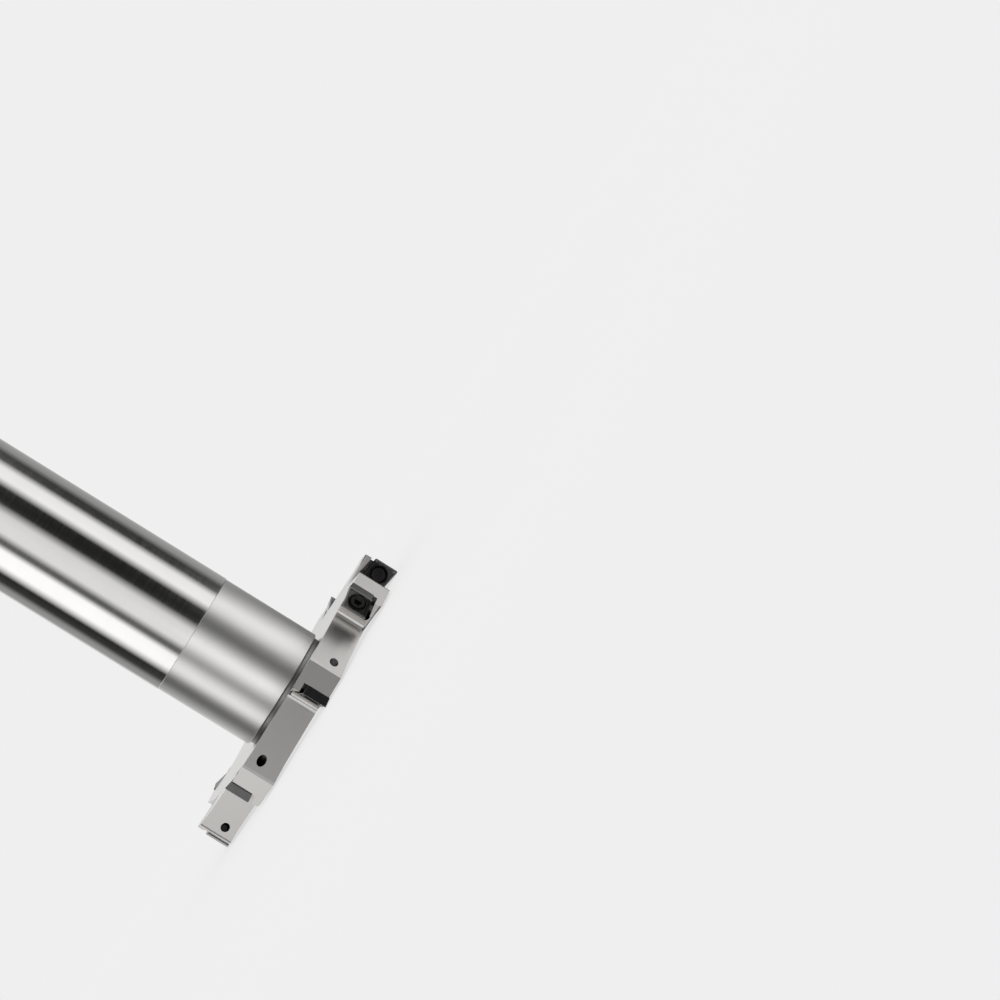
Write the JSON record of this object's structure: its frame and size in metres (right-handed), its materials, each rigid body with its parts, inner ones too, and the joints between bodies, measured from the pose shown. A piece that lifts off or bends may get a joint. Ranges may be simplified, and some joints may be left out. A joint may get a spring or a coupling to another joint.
{
  "type": "indexable slot milling cutter with cylindrical shank",
  "caption": "Shank-type slot milling cutter: ground shank, turned neck and a dished disc of staggered teeth with screwed-on rhombic inserts.",
  "frame": {"origin": "on the tool's axis in the front cutting plane, where the front inserts' corners touch the surface it stands on", "axes": "+Z along the tool's axis towards the end of the shank"},
  "size_m": [0.08, 0.08, 0.12],
  "materials": {
    "body_steel": "ground and polished shank, satin neck and head",
    "coated_carbide": "thin black coating, semi-matt",
    "screw_steel": "dark blued steel"
  },
  "bodies": {
    "root": {"cutter_body": "body_steel", "front_insert_1": "coated_carbide", "front_insert_2": "coated_carbide", "front_insert_3": "coated_carbide", "front_insert_4": "coated_carbide", "rear_insert_1": "coated_carbide", "rear_insert_2": "coated_carbide", "rear_insert_3": "coated_carbide", "rear_insert_4": "coated_carbide", "insert_screws": "screw_steel"}
  },
  "joints": []
}
